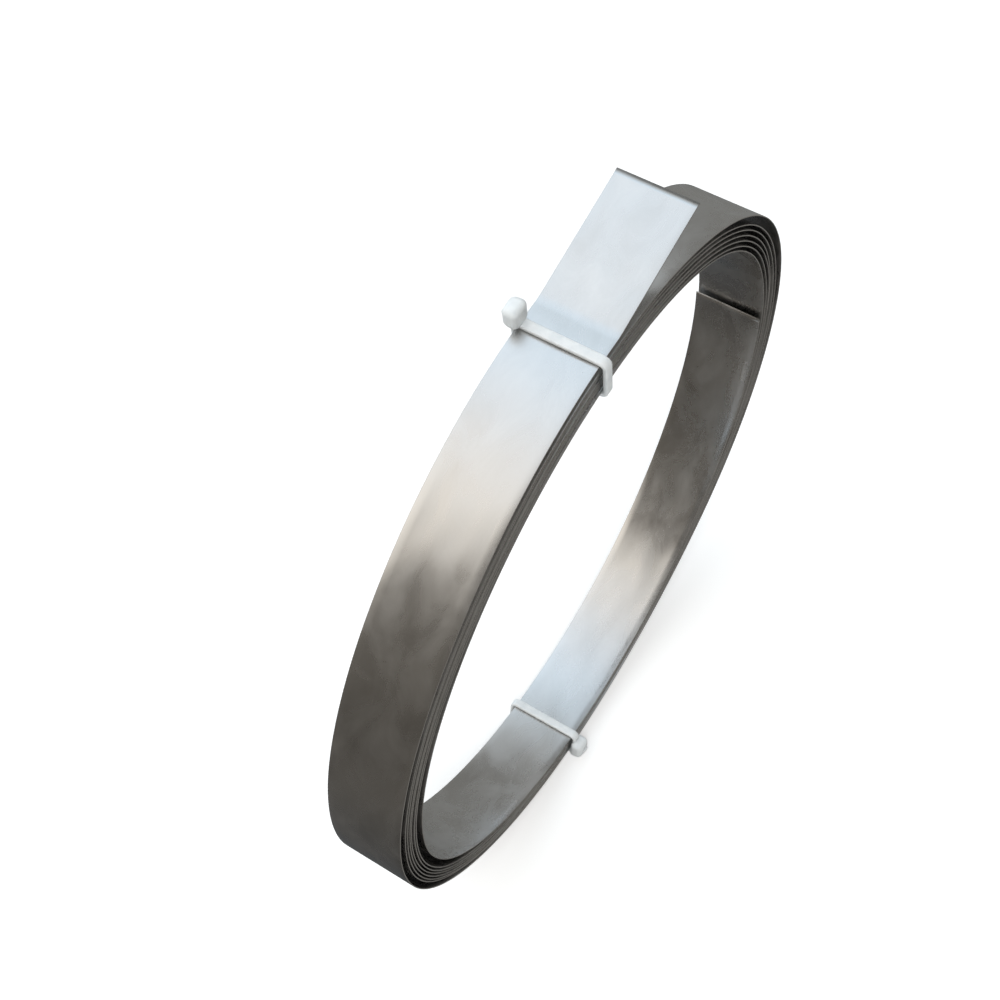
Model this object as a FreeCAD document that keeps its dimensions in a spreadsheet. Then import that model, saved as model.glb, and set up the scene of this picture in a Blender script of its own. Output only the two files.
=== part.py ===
import FreeCAD, Part
import math
import os

# Nichrome heating strip, bought as one loose coil: flat strip wound on itself, its free
# outer end left standing off as a short straight tail, and two small nylon cable ties that
# pinch the laps together on opposite sides. Between the ties the laps spring apart.
#
# The coil stands on its rim. Its axis is Y, +Z is up, and the origin is on the floor, midway
# between its two sides and straight below its axis. The coil is drawn lying in its own XY
# plane, with its axis on Z and the tail's tie on +X, and then stood up.

doc = FreeCAD.newDocument("heating_strip_coil")

# Driving dimensions, in millimetres, degrees and whole laps.
DRIVING = [
    ("strip_width", 20),
    ("strip_thickness", 0.3),
    # Middle of the outermost lap at the two ties and at the two places halfway between them:
    # below, after the tail's tie, and above, after the opposite one.
    ("radius_at_tail_tie", 96.5),
    ("radius_below", 95.9),
    ("radius_at_opposite_tie", 93.3),
    ("radius_above", 98.6),
    # From one lap to the next at the same four places.
    ("pitch_at_tail_tie", 1.3),
    ("pitch_below", 0.82),
    ("pitch_at_opposite_tie", 0.85),
    ("pitch_above", 1.4),
    # How much further the outermost and the innermost lap stand off from the rest.
    ("outer_slack_at_tail_tie", 0.8),
    ("outer_slack_below", 1.3),
    ("outer_slack_at_opposite_tie", 0.2),
    ("outer_slack_above", 2.2),
    ("inner_slack_below", 1.8),
    ("whole_laps", 7),
    # Measured round the coil from the tail's tie, in the direction of winding.
    ("opposite_tie_angle", 165),
    ("inner_end_angle", 271),
    # The tail stays on the lap's curve for a few degrees past its tie, bends off it and then
    # is straight.
    ("tail_lead_angle", 3.5),
    ("tail_bend_radius", 12),
    ("tail_bend_angle", 15),
    ("tail_straight_length", 32.5),
    # Cable ties. Each band passes through its head and is cut off just outside it.
    ("band_width", 2.5),
    ("band_thickness", 1.1),
    ("band_face_gap", 0.15),
    ("band_edge_gap", 0.5),
    ("band_corner_radius", 0.8),
    ("head_length", 6.2),
    ("head_width", 5.6),
    ("head_depth", 4.0),
    ("head_round", 1.6),
    ("cut_end_height", 0.5),
    # From the outermost lap's face out to the middle of the head, and how far the head
    # reaches in over the laps from the band's inside.
    ("tail_tie_head_lift", 3.25),
    ("tail_tie_head_inset", 1.5),
    ("opposite_tie_head_lift", -2.5),
    ("opposite_tie_head_inset", 0),
]

sheet = doc.addObject("Spreadsheet::Sheet", "Sizes")
for row, (name, value) in enumerate(DRIVING, start=1):
    sheet.set(f"A{row}", name)
    sheet.set(f"B{row}", str(value))
    sheet.setAlias(f"B{row}", name)
doc.recompute()


def size(name):
    return float(getattr(sheet, name))


def origin_plane(body, role):
    return next(f for f in body.Origin.OriginFeatures if f.Role == role)


def direction(degrees):
    angle = math.radians(degrees)
    return FreeCAD.Vector(math.cos(angle), math.sin(angle), 0)


# ---------------------------------------------------------------------------------------
# The winding. Four lines cross every lap at a right angle: the two ties and the two places
# halfway between them. From one line to the next a lap is two arcs, each centred on its own
# line, that meet halfway with one tangent.

CROSSINGS = [
    ("at_tail_tie", 0),
    ("below", size("opposite_tie_angle") / 2),
    ("at_opposite_tie", size("opposite_tie_angle")),
    ("above", size("opposite_tie_angle") / 2 + 180),
]


def lap_radius(lap, place, angle):
    """Radius of the middle of one lap, counted from outside, where it crosses one line."""
    radius = size(f"radius_{place}") - size(f"pitch_{place}") * (lap + angle / 360)
    if lap > 0:
        radius -= size(f"outer_slack_{place}")
    if lap == size("whole_laps") and place == "below":
        radius -= size("inner_slack_below")
    return radius


def crossing(number):
    """Angle from the tail's tie, and the lap's radius there."""
    lap, line = divmod(number, len(CROSSINGS))
    place, angle = CROSSINGS[line]
    return angle + 360 * lap, lap_radius(lap, place, angle)


def winding():
    """Arcs of the strip's middle line, from the tail inwards: centre, radius, two angles."""
    end = 360 * size("whole_laps") + size("inner_end_angle")
    arcs = []
    number = 0
    while True:
        angle_a, radius_a = crossing(number)
        angle_b, radius_b = crossing(number + 1)
        middle = (angle_a + angle_b) / 2
        flat = math.cos(math.radians((angle_b - angle_a) / 2))
        first = (radius_a + radius_b - 2 * radius_a * flat) / (2 * (1 - flat))
        second = radius_a + radius_b - first
        start = angle_a if arcs else -size("tail_lead_angle")
        pair = [
            (direction(angle_a) * (radius_a - first), first, start, middle),
            (direction(angle_b) * (radius_b - second), second, middle, angle_b),
        ]
        for centre, radius, start, stop in pair:
            arcs.append((centre, radius, start, min(stop, end)))
            if stop >= end:
                return arcs
        number += 1


def arc(centre, radius, start, stop):
    circle = Part.Circle(centre, FreeCAD.Vector(0, 0, 1), radius)
    return Part.ArcOfCircle(circle, math.radians(start), math.radians(stop))


def strip_outline():
    """Closed outline of the strip, seen along the coil's axis."""
    half = size("strip_thickness") / 2
    arcs = winding()
    bend_radius = size("tail_bend_radius")
    bend_start = arcs[0][2]
    bend_stop = bend_start + size("tail_bend_angle")
    bend_centre = arcs[0][0] + direction(bend_start) * (arcs[0][1] + bend_radius)
    run = direction(bend_stop - 90) * size("tail_straight_length")

    outline = []
    ends = []
    for side in (half, -half):
        for centre, radius, start, stop in arcs:
            outline.append(arc(centre, radius + side, start, stop))
        bend = arc(bend_centre, bend_radius - side, bend_start + 180, bend_stop + 180)
        tail_root = bend.EndPoint
        outline.append(bend)
        outline.append(Part.LineSegment(tail_root, tail_root + run))
        ends.append((tail_root + run, outline[-3].EndPoint))
    for near, far in zip(*ends):
        outline.append(Part.LineSegment(near, far))
    return outline


def make_strip():
    """One length of flat strip from the end of its tail to its cut end inside the coil."""
    body = doc.addObject("PartDesign::Body", "StripBody")
    body.Label = "nichrome_strip"
    outline = body.newObject("Sketcher::SketchObject", "StripOutline")
    outline.AttachmentSupport = [(origin_plane(body, "XY_Plane"), "")]
    outline.MapMode = "FlatFace"
    outline.addGeometry(strip_outline(), False)
    pad = body.newObject("PartDesign::Pad", "StripWidth")
    pad.Profile = outline
    pad.SideType = "Symmetric"
    pad.setExpression("Length", "Sizes.strip_width")
    return body


# ---------------------------------------------------------------------------------------
# Cable ties. Each is one moulding: a flat band pulled tight round all the laps, and a
# rounded head beyond one edge of the strip, with the band's cut end just out of it.
# X points out of the coil, Y runs along the laps and Z along the coil's axis.

def lap_faces(place, angle):
    """Inner and outer radius of the pile of laps at one of the ties."""
    half = size("strip_thickness") / 2
    outer = lap_radius(0, place, angle)
    inner = lap_radius(size("whole_laps"), place, angle)
    return inner - half, outer + half


def block(name, spans):
    """A box from three pairs of expressions, its low and high faces along X, Y and Z."""
    box = doc.addObject("Part::Box", name)
    for length, axis, (low, high) in zip(("Length", "Width", "Height"), "xyz", spans):
        box.setExpression(length, f"({high}) - ({low})")
        box.setExpression(f"Placement.Base.{axis}", low)
    doc.recompute()
    return box


def rounded(base, radius, across_band_only):
    """The box with its corners rounded: all twelve edges, or the four that run along Y."""
    fillet = doc.addObject("Part::Fillet", f"{base.Name}_rounded")
    fillet.Base = base
    edges = []
    for number, edge in enumerate(base.Shape.Edges, start=1):
        if not across_band_only or abs(edge.tangentAt(edge.FirstParameter).y) > 0.5:
            edges.append((number, radius, radius))
    fillet.Edges = edges
    return fillet


def make_tie(label, place, angle, side):
    """A tie round all the laps; side is +1 or -1, the edge its head sits beyond."""
    inner_face, outer_face = lap_faces(place, angle)
    inner = f"{inner_face} - Sizes.band_face_gap"
    outer = f"{outer_face} + Sizes.band_face_gap"
    reach = "(Sizes.strip_width / 2 + Sizes.band_edge_gap)"
    skin = "Sizes.band_thickness"
    half_width = "Sizes.band_width / 2"

    space = block(f"{label}_space", [(inner, outer), ("-Sizes.head_width", "Sizes.head_width"),
                                     (f"-{reach}", reach)])
    body = block(f"{label}_body", [(f"{inner} - {skin}", f"{outer} + {skin}"),
                                   (f"-{half_width}", half_width),
                                   (f"-{reach} - {skin}", f"{reach} + {skin}")])

    # The head stands on the band where it turns past the strip's edge.
    middle = f"{outer_face} + Sizes.{place[3:]}_head_lift"
    near = f"({reach} - Sizes.{place[3:]}_head_inset)"
    lengths = (f"{middle} - Sizes.head_length / 2", f"{middle} + Sizes.head_length / 2")
    far = f"({near} + Sizes.head_depth)"
    depths = (near, far)
    stub_depths = (f"{far} - Sizes.head_round", f"{far} + Sizes.cut_end_height")
    if side < 0:
        depths = (f"-{far}", f"-{near}")
        stub_depths = (f"-{far} - Sizes.cut_end_height", f"-{far} + Sizes.head_round")
    head = block(f"{label}_head", [lengths, ("-Sizes.head_width / 2", "Sizes.head_width / 2"),
                                   depths])
    stub = block(f"{label}_cut_end", [(f"{middle} - {skin} / 2", f"{middle} + {skin} / 2"),
                                      (f"-{half_width}", half_width), stub_depths])

    moulding = doc.addObject("Part::MultiFuse", f"{label}_moulding")
    moulding.Shapes = [
        rounded(body, size("band_corner_radius") + size("band_thickness"), True),
        rounded(head, size("head_round"), False),
        stub,
    ]
    tie = doc.addObject("Part::Cut", label)
    tie.Base = moulding
    tie.Tool = rounded(space, size("band_corner_radius"), True)
    tie.Label = label
    doc.recompute()
    return tie


# ---------------------------------------------------------------------------------------
# The coil on the floor. It rests on its outermost lap and on the band of the opposite tie,
# which is a low chock under it.

def resting_angle():
    """Angle round the coil, in its own plane, that points straight down."""
    angle = size("opposite_tie_angle")
    _, outer_face = lap_faces("at_opposite_tie", angle)
    band_face = outer_face + size("band_face_gap") + size("band_thickness")
    corner = direction(angle) * band_face + direction(angle + 90) * (size("band_width") / 2)
    next_arc = next(arc for arc in winding() if arc[2] == angle)
    centre = next_arc[0]
    lap_face = next_arc[1] + size("strip_thickness") / 2
    spoke = corner - centre
    turn = math.degrees(math.acos(lap_face / spoke.Length))
    drop = centre.dot(direction(math.degrees(math.atan2(spoke.y, spoke.x)) + turn)) + lap_face
    return math.degrees(math.atan2(spoke.y, spoke.x)) + turn, drop


down_angle, axis_height = resting_angle()
stand_up = FreeCAD.Rotation(FreeCAD.Vector(1, 0, 0), 90)
roll = FreeCAD.Rotation(FreeCAD.Vector(0, 0, 1), -90 - down_angle)
standing = FreeCAD.Placement(FreeCAD.Vector(0, 0, axis_height), stand_up * roll)

strip = make_strip()
tail_tie = make_tie("cable_tie_at_tail", "at_tail_tie", 0, -1)
opposite_angle = size("opposite_tie_angle")
opposite_tie = make_tie("cable_tie_opposite", "at_opposite_tie", opposite_angle, 1)

strip.Placement = standing
tail_tie.Placement = standing
turned = FreeCAD.Rotation(FreeCAD.Vector(0, 0, 1), opposite_angle)
opposite_tie.Placement = standing * FreeCAD.Placement(FreeCAD.Vector(0, 0, 0), turned)
doc.recompute()

for item in doc.Objects:
    if "Invalid" in item.State or "Error" in item.State:
        raise RuntimeError(f"{item.Label} did not build: {item.State}")

os.makedirs("parts", exist_ok=True)
for node in (strip, tail_tie, opposite_tie):
    if node.Shape.isNull() or not node.Shape.isValid() or len(node.Shape.Solids) != 1:
        raise RuntimeError(f"{node.Label} is not one good solid")
    node.Shape.exportStep(f"parts/{node.Label}.step")
    print(node.Label, round(node.Shape.Volume, 2), node.Shape.BoundBox)
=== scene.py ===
import math

import bmesh
import bpy
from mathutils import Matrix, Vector, noise


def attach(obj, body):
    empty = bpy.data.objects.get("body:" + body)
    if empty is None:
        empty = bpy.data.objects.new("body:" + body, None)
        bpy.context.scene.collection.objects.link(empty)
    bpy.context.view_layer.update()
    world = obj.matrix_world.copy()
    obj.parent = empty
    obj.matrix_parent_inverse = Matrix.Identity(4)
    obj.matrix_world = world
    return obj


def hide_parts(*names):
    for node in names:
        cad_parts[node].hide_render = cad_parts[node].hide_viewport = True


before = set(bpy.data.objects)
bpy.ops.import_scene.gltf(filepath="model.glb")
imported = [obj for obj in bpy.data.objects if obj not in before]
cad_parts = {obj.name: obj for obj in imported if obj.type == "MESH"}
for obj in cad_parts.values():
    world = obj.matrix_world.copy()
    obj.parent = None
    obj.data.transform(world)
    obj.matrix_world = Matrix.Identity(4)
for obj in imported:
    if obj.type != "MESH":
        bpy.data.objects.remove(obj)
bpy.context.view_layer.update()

# ---------------------------------------------------------------------------------------
# The heating strip: flat nichrome strip, cold rolled, slit to width and bright annealed,
# then wound on itself straight off the slitter. Nothing holds it but its two ties, so its
# laps lie a little unevenly and its edges wander by a few tenths of a millimetre.

MM = 0.001
STRIP_WIDTH = 20 * MM
STRIP_THICKNESS = 0.3 * MM
WHOLE_LAPS = 7
OPPOSITE_TIE_ANGLE = 165
INNER_END_ANGLE = 271
TAIL_LEAD_ANGLE = 3.5
TAIL_BEND_RADIUS = 12 * MM
TAIL_BEND_ANGLE = 15
TAIL_STRAIGHT_LENGTH = 32.5 * MM
SLIT_CORNER = 0.09 * MM
EDGE_DEPTH = 0.05 * MM
EDGE_WANDER = 0.45 * MM
WANDERS_PER_METRE = 9
FACE_RIPPLE = 0.05 * MM
RIPPLES_ALONG = 60
RIPPLES_ACROSS = 70
# How finely the strip is drawn, and how far its back face lies from its front one on the
# flat map that its metal is painted by.
STEP_ALONG = 1.6 * MM
FACE_COLUMNS = 10
BACK_FACE_SHIFT = 0.03

# Where every lap is crossed at a right angle: angle, outermost lap's radius, pitch from lap
# to lap, extra gap behind the outermost lap and extra gap outside the innermost one.
CROSSINGS = [
    (0, 96.5 * MM, 1.3 * MM, 0.8 * MM, 0),
    (OPPOSITE_TIE_ANGLE / 2, 95.9 * MM, 0.82 * MM, 1.3 * MM, 1.8 * MM),
    (OPPOSITE_TIE_ANGLE, 93.3 * MM, 0.85 * MM, 0.2 * MM, 0),
    (OPPOSITE_TIE_ANGLE / 2 + 180, 98.6 * MM, 1.4 * MM, 2.2 * MM, 0),
]
# The coil stands with this angle of the winding straight down and its axis this high.
DOWN_ANGLE = 174.752
AXIS_HEIGHT = 93.159 * MM


def spoke(degrees):
    """Unit vector out of the coil at an angle round the winding, in the XZ plane."""
    turned = math.radians(degrees - DOWN_ANGLE - 90)
    return Vector((math.cos(turned), 0, math.sin(turned)))


def crossing(number):
    lap, line = divmod(number, len(CROSSINGS))
    angle, radius, pitch, outer_gap, inner_gap = CROSSINGS[line]
    radius -= pitch * (lap + angle / 360)
    if lap > 0:
        radius -= outer_gap
    if lap == WHOLE_LAPS:
        radius -= inner_gap
    return angle + 360 * lap, radius


def winding_line(step):
    """Points down the middle of the strip from the tail's end inwards, with their normals."""
    end = 360 * WHOLE_LAPS + INNER_END_ANGLE
    arcs = []
    number = 0
    while not arcs or arcs[-1][3] < end:
        angle_a, radius_a = crossing(number)
        angle_b, radius_b = crossing(number + 1)
        middle = (angle_a + angle_b) / 2
        flat = math.cos(math.radians((angle_b - angle_a) / 2))
        first = (radius_a + radius_b - 2 * radius_a * flat) / (2 * (1 - flat))
        second = radius_a + radius_b - first
        start = angle_a if arcs else -TAIL_LEAD_ANGLE
        arcs.append((spoke(angle_a) * (radius_a - first), first, start, min(middle, end)))
        if middle < end:
            arcs.append((spoke(angle_b) * (radius_b - second), second, middle, min(angle_b, end)))
        number += 1

    root = arcs[0][0] + spoke(-TAIL_LEAD_ANGLE) * arcs[0][1]
    bend_centre = root + spoke(-TAIL_LEAD_ANGLE) * TAIL_BEND_RADIUS
    lifted = TAIL_BEND_ANGLE - TAIL_LEAD_ANGLE
    bend_end = bend_centre - spoke(lifted) * TAIL_BEND_RADIUS
    points = []
    tail_steps = round(TAIL_STRAIGHT_LENGTH / step)
    for n in range(tail_steps):
        along = TAIL_STRAIGHT_LENGTH * (1 - n / tail_steps)
        points.append((bend_end + spoke(lifted - 90) * along, spoke(lifted)))
    bend_steps = 6
    for n in range(bend_steps):
        angle = lifted - TAIL_BEND_ANGLE * n / bend_steps
        points.append((bend_centre - spoke(angle) * TAIL_BEND_RADIUS, spoke(angle)))
    for centre, radius, start, stop in arcs:
        steps = max(1, round(math.radians(stop - start) * radius / step))
        for n in range(steps):
            out = spoke(start + (stop - start) * n / steps)
            points.append((centre + out * radius, out))
    points.append((centre + spoke(stop) * radius, spoke(stop)))
    return [(point + Vector((0, 0, AXIS_HEIGHT)), out) for point, out in points]


def strip_section(columns, corner):
    """Outline of the strip's section, as (across the strip, through it)."""
    half_w, half_t = STRIP_WIDTH / 2, STRIP_THICKNESS / 2
    face = [(-half_w + corner + (STRIP_WIDTH - 2 * corner) * n / columns, half_t)
            for n in range(columns + 1)]
    edge = [(half_w - corner + corner * math.sin(a), half_t - corner + corner * math.cos(a))
            for a in (math.radians(30), math.radians(60))]
    near = [*edge, (half_w, 0), *[(w, -t) for w, t in reversed(edge)]]
    back = [(-w, -t) for w, t in face]
    far = [(-w, -t) for w, t in near]
    return face + near + back + far


def make_strip():
    line = winding_line(STEP_ALONG)
    section = strip_section(FACE_COLUMNS, SLIT_CORNER)
    verts, faces = [], []
    travelled = 0
    previous = line[0][0]
    length_at = []
    for point, out in line:
        travelled += (point - previous).length
        previous = point
        length_at.append(travelled)
        wander = EDGE_WANDER * noise.noise(Vector((travelled * WANDERS_PER_METRE, 0.3, 7)))
        for across, through in section:
            spot = Vector((travelled * RIPPLES_ALONG, across * RIPPLES_ACROSS, 2))
            ripple = FACE_RIPPLE * noise.noise(spot)
            offset = out * (through + ripple) + Vector((0, -(across + wander), 0))
            verts.append(point + offset)
    count = len(section)
    for row in range(len(line) - 1):
        for column in range(count):
            after = (column + 1) % count
            faces.append((row * count + column, row * count + after,
                          (row + 1) * count + after, (row + 1) * count + column))
    faces.append(tuple(reversed(range(count))))
    faces.append(tuple(range((len(line) - 1) * count, len(line) * count)))
    mesh = bpy.data.meshes.new("wound_strip")
    mesh.from_pydata(verts, [], faces)
    layer = mesh.uv_layers.new(name="along_strip")
    for polygon in mesh.polygons:
        for loop in polygon.loop_indices:
            row, column = divmod(mesh.loops[loop].vertex_index, count)
            across = section[column][0] + (BACK_FACE_SHIFT if section[column][1] < 0 else 0)
            layer.data[loop].uv = (length_at[row], across)
    edge = mesh.attributes.new("slit_edge", "FLOAT", "POINT")
    flat = STRIP_WIDTH / 2 - EDGE_DEPTH
    edge.data.foreach_set("value", [float(abs(across) > flat)
                                    for _ in line for across, _ in section])
    for polygon in mesh.polygons:
        polygon.use_smooth = len(polygon.vertices) == 4
    mesh.update()
    strip = bpy.data.objects.new("wound_strip", mesh)
    bpy.context.collection.objects.link(strip)
    return strip


def node(tree, kind, **values):
    made = tree.nodes.new(kind)
    for name, value in values.items():
        if name in made.inputs:
            made.inputs[name].default_value = value
        else:
            setattr(made, name, value)
    return made


def remap(tree, from_low=0.0, from_high=1.0, to_low=0.0, to_high=1.0):
    """Node that carries one range of values over to another."""
    return node(tree, "ShaderNodeMapRange", **{"From Min": from_low, "From Max": from_high,
                                               "To Min": to_low, "To Max": to_high})


def ramp(tree, stops):
    made = tree.nodes.new("ShaderNodeValToRGB")
    elements = made.color_ramp.elements
    while len(elements) < len(stops):
        elements.new(0.5)
    for element, (position, colour) in zip(elements, stops):
        element.position = position
        element.color = (*colour, 1)
    return made


def strip_metal():
    material = bpy.data.materials.new("bright_annealed_nichrome")
    material.use_nodes = True
    tree = material.node_tree
    link = tree.links.new
    bsdf = tree.nodes["Principled BSDF"]
    bsdf.inputs["Metallic"].default_value = 1.0
    place = node(tree, "ShaderNodeUVMap", uv_map="along_strip")

    # Clouds left by the annealing furnace, stretched along the strip.
    stretch = node(tree, "ShaderNodeMapping")
    stretch.inputs["Scale"].default_value = (60, 110, 1)
    link(place.outputs["UV"], stretch.inputs["Vector"])
    clouds = node(tree, "ShaderNodeTexNoise", Scale=1.0, Detail=5.0, Roughness=0.62,
                  Distortion=0.6)
    link(stretch.outputs["Vector"], clouds.inputs["Vector"])

    # Fine lines of the rolls, along the strip.
    lines_stretch = node(tree, "ShaderNodeMapping")
    lines_stretch.inputs["Scale"].default_value = (40, 1700, 1)
    link(place.outputs["UV"], lines_stretch.inputs["Vector"])
    lines = node(tree, "ShaderNodeTexNoise", Scale=1.0, Detail=3.0, Roughness=0.6)
    link(lines_stretch.outputs["Vector"], lines.inputs["Vector"])

    colour = ramp(tree, [(0.3, (0.57, 0.56, 0.55)), (0.55, (0.64, 0.635, 0.63)),
                         (0.72, (0.70, 0.695, 0.69))])
    link(clouds.outputs["Fac"], colour.inputs["Fac"])
    # The slit edges are given a darker metal colour than the faces of the strip.
    slit = node(tree, "ShaderNodeAttribute", attribute_name="slit_edge")
    darkened_slit_edge = node(tree, "ShaderNodeMix", data_type="RGBA", blend_type="MULTIPLY")
    link(slit.outputs["Fac"], darkened_slit_edge.inputs["Factor"])
    link(colour.outputs["Color"], darkened_slit_edge.inputs["A"])
    darkened_slit_edge.inputs["B"].default_value = (0.72, 0.71, 0.69, 1)
    link(darkened_slit_edge.outputs["Result"], bsdf.inputs["Base Color"])

    rough = remap(tree, 0.3, 0.7, 0.20, 0.36)
    link(clouds.outputs["Fac"], rough.inputs["Value"])
    link(rough.outputs["Result"], bsdf.inputs["Roughness"])

    bump = node(tree, "ShaderNodeBump", Strength=0.10, Distance=0.00002)
    link(lines.outputs["Fac"], bump.inputs["Height"])
    buckle = node(tree, "ShaderNodeTexNoise", Scale=0.8, Detail=1.0, Roughness=0.4)
    link(stretch.outputs["Vector"], buckle.inputs["Vector"])
    soft = node(tree, "ShaderNodeBump", Strength=0.5, Distance=0.0007)
    link(buckle.outputs["Fac"], soft.inputs["Height"])
    link(bump.outputs["Normal"], soft.inputs["Normal"])
    link(soft.outputs["Normal"], bsdf.inputs["Normal"])
    return material


strip = make_strip()
strip.data.materials.append(strip_metal())
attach(strip, "root")
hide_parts("nichrome_strip")

# ---------------------------------------------------------------------------------------
# The cable ties: small natural nylon ties, each one moulding with a smooth flat band and a
# boxy head. They are pulled up round all the laps, and their ends are cut off at the head.

BAND_WIDTH = 2.5 * MM
BAND_THICKNESS = 1.1 * MM
BAND_FACE_GAP = 0.15 * MM
BAND_REACH = STRIP_WIDTH / 2 + 0.5 * MM
BAND_CORNER = 0.8 * MM
HEAD_LENGTH = 6.2 * MM
HEAD_WIDTH = 5.6 * MM
HEAD_DEPTH = 4.0 * MM
BAND_ROUNDING = 0.32 * MM
HEAD_ROUNDING = 1.5 * MM
HEAD_TAPER = 0.10
CUT_END_HEIGHT = 0.5 * MM
CUT_END_HALF = 0.9 * MM
CUT_END_ROUNDING = 0.22 * MM
QUARTERS = [(1, 1), (-1, 1), (-1, -1), (1, -1)]


def rounded_block(halves, radius, cuts):
    """Points and faces of a block with rounded edges, centred on zero."""
    block = bmesh.new()
    bmesh.ops.create_cube(block, size=2)
    bmesh.ops.subdivide_edges(block, edges=block.edges[:], cuts=cuts, use_grid_fill=True)
    block.verts.index_update()
    points = []
    for vert in block.verts:
        outside = Vector([c * half for c, half in zip(vert.co, halves)])
        core = Vector([max(radius - half, min(half - radius, c))
                       for c, half in zip(outside, halves)])
        points.append(core + (outside - core).normalized() * radius)
    faces = [[vert.index for vert in face.verts] for face in block.faces]
    block.free()
    return points, faces


def band_loop(inner, outer):
    """Points and faces of the closed band, as (out of the coil, round it, across it)."""
    half_t = BAND_THICKNESS / 2
    radius = BAND_CORNER + half_t
    corner_steps = 10
    middle = (inner + outer) / 2
    half_out = (outer - inner) / 2 + half_t - radius
    half_across = BAND_REACH + half_t - radius
    path = []
    for quarter, (sign_out, sign_across) in enumerate(QUARTERS):
        for n in range(corner_steps + 1):
            angle = math.radians(90 * quarter + 90 * n / corner_steps)
            normal = (math.cos(angle), math.sin(angle))
            path.append((middle + sign_out * half_out + normal[0] * radius,
                         sign_across * half_across + normal[1] * radius, normal))
        following = QUARTERS[(quarter + 1) % 4]
        start = path[-1]
        stop = (start[0] + (following[0] - sign_out) * half_out,
                start[1] + (following[1] - sign_across) * half_across)
        for n in range(1, corner_steps):
            share = n / corner_steps
            path.append((start[0] + (stop[0] - start[0]) * share,
                         start[1] + (stop[1] - start[1]) * share, start[2]))
    soft = BAND_ROUNDING
    soft_steps = 4
    half_w = BAND_WIDTH / 2
    section = []
    for quarter, (sign_u, sign_v) in enumerate(QUARTERS):
        for n in range(soft_steps + 1):
            angle = math.radians(90 * quarter + 90 * n / soft_steps)
            section.append((sign_u * (half_w - soft) + soft * math.cos(angle),
                            sign_v * (half_t - soft) + soft * math.sin(angle)))
    points = []
    for out, across, normal in path:
        for u, v in section:
            points.append(Vector((out + normal[0] * v, u, across + normal[1] * v)))
    rows, columns = len(path), len(section)
    faces = []
    for row in range(rows):
        for column in range(columns):
            right = (column + 1) % columns
            below = (row + 1) % rows
            faces.append((row * columns + column, below * columns + column,
                          below * columns + right, row * columns + right))
    return points, faces


def make_tie(name, line, side, head_lift, head_inset):
    """side is +1 where the head is on the coil's near side, -1 on the far side."""
    angle = CROSSINGS[line][0]
    clear = STRIP_THICKNESS / 2 + BAND_FACE_GAP
    inner = crossing(len(CROSSINGS) * WHOLE_LAPS + line)[1] - clear
    outer = crossing(line)[1] + clear
    head_middle = outer - BAND_FACE_GAP + head_lift
    head_start = BAND_REACH - head_inset
    head_halves = (HEAD_LENGTH / 2, HEAD_WIDTH / 2, HEAD_DEPTH / 2)
    head, head_faces = rounded_block(head_halves, HEAD_ROUNDING, cuts=19)
    for point in head:
        narrow = 1 - HEAD_TAPER * (point.z / HEAD_DEPTH + 0.5)
        point.x = point.x * narrow + head_middle
        point.y *= narrow
        point.z = point.z + head_start + HEAD_DEPTH / 2
    end_halves = (BAND_THICKNESS / 2, BAND_WIDTH / 2, CUT_END_HALF)
    end, end_faces = rounded_block(end_halves, CUT_END_ROUNDING, cuts=9)
    for point in end:
        point.x += head_middle
        point.z += head_start + HEAD_DEPTH + CUT_END_HEIGHT - CUT_END_HALF
    verts, faces = [], []
    for points, rings in (band_loop(inner, outer), (head, head_faces), (end, end_faces)):
        faces += [[len(verts) + corner for corner in ring] for ring in rings]
        for point in points:
            place = spoke(angle) * point.x + spoke(angle + 90) * point.y
            verts.append(place + Vector((0, -side * point.z, AXIS_HEIGHT)))
    mesh = bpy.data.meshes.new(name)
    mesh.from_pydata(verts, [], faces)
    shell = bmesh.new()
    shell.from_mesh(mesh)
    bmesh.ops.recalc_face_normals(shell, faces=shell.faces[:])
    shell.to_mesh(mesh)
    shell.free()
    for polygon in mesh.polygons:
        polygon.use_smooth = True
    tie = bpy.data.objects.new(name, mesh)
    bpy.context.collection.objects.link(tie)
    return tie


def nylon():
    material = bpy.data.materials.new("natural_nylon")
    material.use_nodes = True
    tree = material.node_tree
    link = tree.links.new
    bsdf = tree.nodes["Principled BSDF"]
    place = node(tree, "ShaderNodeTexCoord")
    milky = node(tree, "ShaderNodeTexNoise", Scale=420.0, Detail=3.0, Roughness=0.5)
    link(place.outputs["Object"], milky.inputs["Vector"])
    colour = ramp(tree, [(0.3, (0.76, 0.80, 0.82)), (0.7, (0.88, 0.91, 0.92))])
    link(milky.outputs["Fac"], colour.inputs["Fac"])
    link(colour.outputs["Color"], bsdf.inputs["Base Color"])
    rough = remap(tree, to_low=0.28, to_high=0.42)
    link(milky.outputs["Fac"], rough.inputs["Value"])
    link(rough.outputs["Result"], bsdf.inputs["Roughness"])
    dimple = node(tree, "ShaderNodeBump", Strength=0.15, Distance=0.0001)
    link(milky.outputs["Fac"], dimple.inputs["Height"])
    link(dimple.outputs["Normal"], bsdf.inputs["Normal"])
    bsdf.inputs["Subsurface Weight"].default_value = 0.4
    bsdf.inputs["Subsurface Radius"].default_value = (1.0, 1.0, 1.0)
    bsdf.inputs["Subsurface Scale"].default_value = 0.0015
    return material


tie_material = nylon()
TIES = [
    ("cable_tie_at_tail", 0, -1, 3.25 * MM, 1.5 * MM),
    ("cable_tie_opposite", 2, 1, -2.5 * MM, 0),
]
for node_name, line, side, head_lift, head_inset in TIES:
    tie = make_tie("moulded_" + node_name, line, side, head_lift, head_inset)
    tie.data.materials.append(tie_material)
    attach(tie, "root")
    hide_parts(node_name)

# ---------------------------------------------------------------------------------------
# The studio: a pale floor under the coil, a broad bright sky above and behind it, and dim
# surroundings below and in front, which give the metal its long gradients.

FLOOR_REACH = 3.0
FLOOR_DROP = 0.2 * MM


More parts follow.
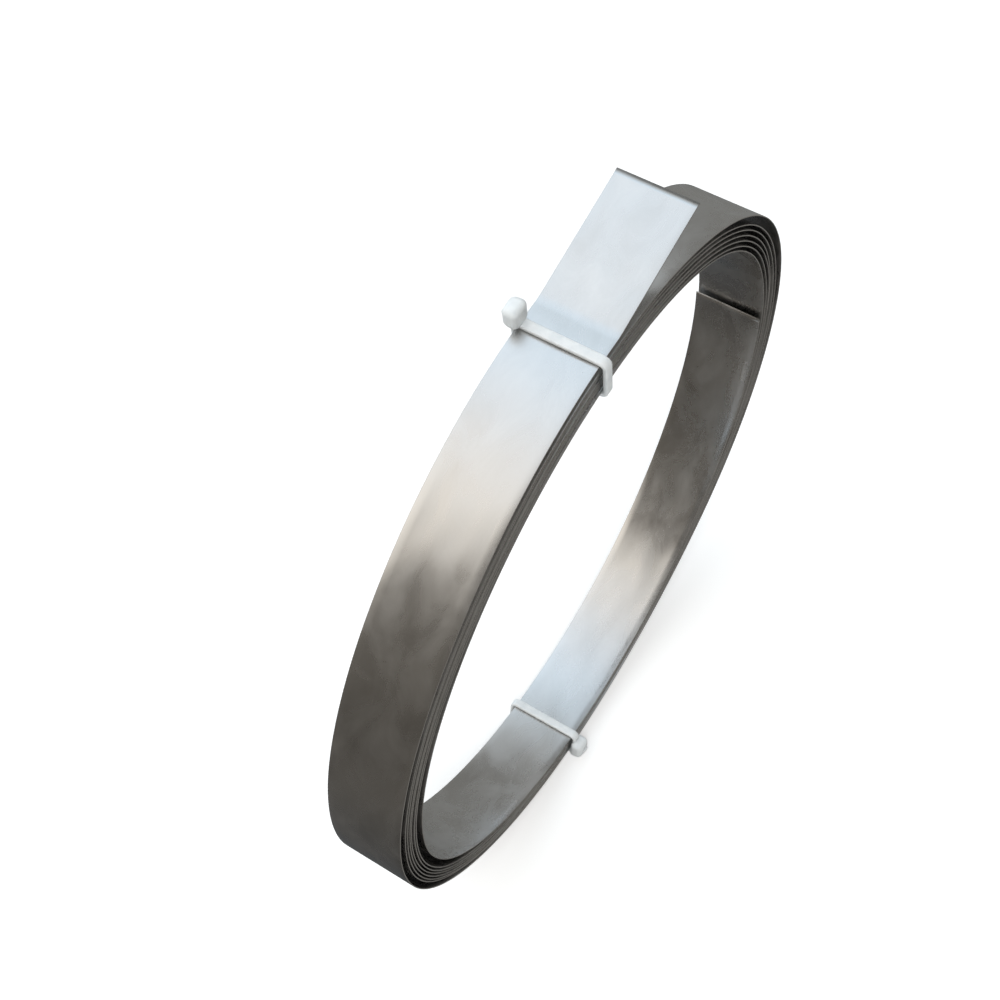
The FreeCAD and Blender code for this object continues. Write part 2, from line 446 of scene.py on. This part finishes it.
def lay_floor():
    floor_mesh = bpy.data.meshes.new("studio_floor")
    floor_mesh.from_pydata([(-FLOOR_REACH, -FLOOR_REACH, 0), (FLOOR_REACH, -FLOOR_REACH, 0),
                            (FLOOR_REACH, FLOOR_REACH, 0), (-FLOOR_REACH, FLOOR_REACH, 0)],
                           [], [(0, 1, 2, 3)])
    floor = bpy.data.objects.new("studio_floor", floor_mesh)
    bpy.context.collection.objects.link(floor)
    floor.location.z = -FLOOR_DROP
    floor.visible_glossy = False

    floor_paint = bpy.data.materials.new("studio_floor_paint")
    floor_paint.use_nodes = True
    tree = floor_paint.node_tree
    paint = tree.nodes["Principled BSDF"]
    paint.inputs["Base Color"].default_value = (0.93, 0.93, 0.93, 1)
    paint.inputs["Roughness"].default_value = 1.0
    paint.inputs["Specular IOR Level"].default_value = 0.0
    ray = node(tree, "ShaderNodeLightPath")
    lift = node(tree, "ShaderNodeMath", operation="MULTIPLY")
    lift.inputs[1].default_value = 0.33
    tree.links.new(ray.outputs["Is Camera Ray"], lift.inputs[0])
    paint.inputs["Emission Color"].default_value = (1, 1, 1, 1)
    tree.links.new(lift.outputs["Value"], paint.inputs["Emission Strength"])
    floor_mesh.materials.append(floor_paint)
    return floor


def surround_coil():
    world = bpy.data.worlds.new("studio_surroundings")
    bpy.context.scene.world = world
    world.use_nodes = True
    tree = world.node_tree
    link = tree.links.new
    background = tree.nodes["Background"]
    place = node(tree, "ShaderNodeTexCoord")
    towards_sky = node(tree, "ShaderNodeVectorMath", operation="DOT_PRODUCT")
    towards_sky.inputs[1].default_value = (0.133, 0.754, 0.643)
    link(place.outputs["Generated"], towards_sky.inputs[0])
    half = remap(tree, -1.0, 1.0)
    link(towards_sky.outputs["Value"], half.inputs["Value"])
    sky = ramp(tree, [(at, (light, light, light)) for at, light in (
        (0.00, 0.05), (0.20, 0.06), (0.27, 0.08), (0.36, 0.13), (0.44, 0.08), (0.55, 0.13),
        (0.66, 0.16), (0.74, 0.22), (0.765, 0.32), (0.80, 1.20), (0.84, 1.32), (1.00, 1.26))])
    link(half.outputs["Result"], sky.inputs["Fac"])
    # Warm light from the left, cooler light from the middle and the right.
    sides = node(tree, "ShaderNodeSeparateXYZ")
    link(place.outputs["Generated"], sides.inputs["Vector"])
    from_left = remap(tree, -1.0, 1.0)
    link(sides.outputs["X"], from_left.inputs["Value"])
    tint = ramp(tree, [(0.0, (1.10, 1.0, 0.86)), (0.25, (1.05, 1.0, 0.92)), (0.4, (1.0, 1.0, 0.99)),
                       (0.6, (0.88, 1.0, 1.11)), (0.75, (0.85, 1.01, 1.14)), (1.0, (1.0, 1.0, 0.98))])
    link(from_left.outputs["Result"], tint.inputs["Fac"])
    tinted = node(tree, "ShaderNodeMix", data_type="RGBA", blend_type="MULTIPLY", Factor=1.0)
    link(sky.outputs["Color"], tinted.inputs["A"])
    link(tint.outputs["Color"], tinted.inputs["B"])
    # A plain grey wall stands on the right.
    by_wall = remap(tree, 0.4, 0.88, to_high=0.82)
    link(sides.outputs["X"], by_wall.inputs["Value"])
    walled = node(tree, "ShaderNodeMix", data_type="RGBA")
    link(by_wall.outputs["Result"], walled.inputs["Factor"])
    link(tinted.outputs["Result"], walled.inputs["A"])
    walled.inputs["B"].default_value = (0.285, 0.285, 0.27, 1)
    # Another stands in front, lower than the sky, and shows in the edges of the laps.
    by_front = remap(tree, -0.05, -0.25)
    link(sides.outputs["Y"], by_front.inputs["Value"])
    fronted = node(tree, "ShaderNodeMix", data_type="RGBA")
    link(by_front.outputs["Result"], fronted.inputs["Factor"])
    link(walled.outputs["Result"], fronted.inputs["A"])
    fronted.inputs["B"].default_value = (0.34, 0.33, 0.31, 1)
    ray = node(tree, "ShaderNodeLightPath")
    seen = node(tree, "ShaderNodeMix", data_type="RGBA")
    link(ray.outputs["Is Camera Ray"], seen.inputs["Factor"])
    link(fronted.outputs["Result"], seen.inputs["A"])
    seen.inputs["B"].default_value = (1, 1, 1, 1)
    link(seen.outputs["Result"], background.inputs["Color"])
    background.inputs["Strength"].default_value = 1.0


def hang_lamp():
    lamp_data = bpy.data.lights.new("soft_key", "AREA")
    lamp_data.shape = "DISK"
    lamp_data.size = 0.7
    lamp_data.energy = 6.0
    lamp = bpy.data.objects.new("soft_key", lamp_data)
    bpy.context.collection.objects.link(lamp)
    lamp.location = (-0.6, -0.3, 1.2)
    lamp.rotation_euler = (Vector((0, 0, 0.1)) - lamp.location).to_track_quat("-Z", "Y").to_euler()
    lamp.visible_glossy = False


def set_camera():
    camera_data = bpy.data.cameras.new("camera")
    camera_data.lens = 54.147
    camera_data.sensor_width = 36
    camera = bpy.data.objects.new("camera", camera_data)
    bpy.context.collection.objects.link(camera)
    camera.location = (-0.17394, -0.09522, 0.43615)
    camera.rotation_euler = (math.radians(31.742), math.radians(1.377), math.radians(-58.036))
    bpy.context.scene.camera = camera


floor = lay_floor()
surround_coil()
hang_lamp()
set_camera()
bpy.context.scene.view_settings.view_transform = "Standard"
